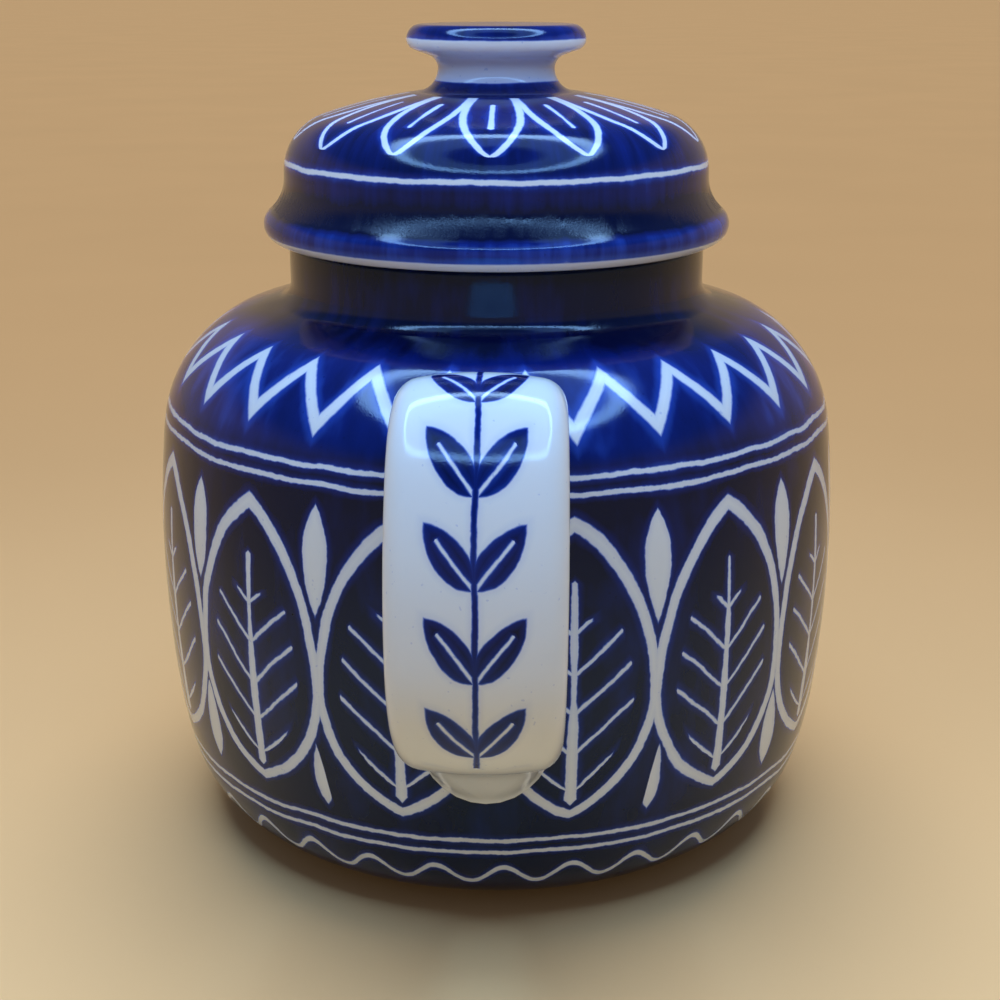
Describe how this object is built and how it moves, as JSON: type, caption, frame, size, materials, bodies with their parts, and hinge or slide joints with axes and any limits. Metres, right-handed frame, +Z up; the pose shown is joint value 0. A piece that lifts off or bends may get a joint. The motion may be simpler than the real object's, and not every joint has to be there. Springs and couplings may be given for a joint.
{
  "type": "teapot",
  "caption": "Squat ceramic teapot with a straight neck, loose domed lid with a waisted knob, broad strap handle, and a tapering spout over a pierced strainer.",
  "frame": {"origin": "on the table under the pot's axis, midway between the handle's back and the spout's tip", "axes": "+Z up along the pot's axis, +Y towards the spout, -Y towards the handle, +X to the right when the handle faces the viewer"},
  "size_m": [0.1497, 0.238, 0.1743],
  "materials": {
    "pot_glaze": "gloss glaze over brushed cobalt blue",
    "handle_glaze": "gloss white glaze",
    "spout_glaze": "gloss white glaze",
    "lid_glaze": "gloss glaze over brushed cobalt blue",
    "knob_glaze": "gloss white glaze with a blue top"
  },
  "bodies": {
    "pot": {"pot_body": "pot_glaze", "handle": "handle_glaze", "spout": "spout_glaze"},
    "lid": {"lid_shell": "lid_glaze", "lid_knob": "knob_glaze"}
  },
  "joints": [
    {"name": "lid_lift", "type": "slide", "parent": "pot", "child": "lid", "axis": [0, 0, 1], "range_m": [0, 0.06]}
  ]
}
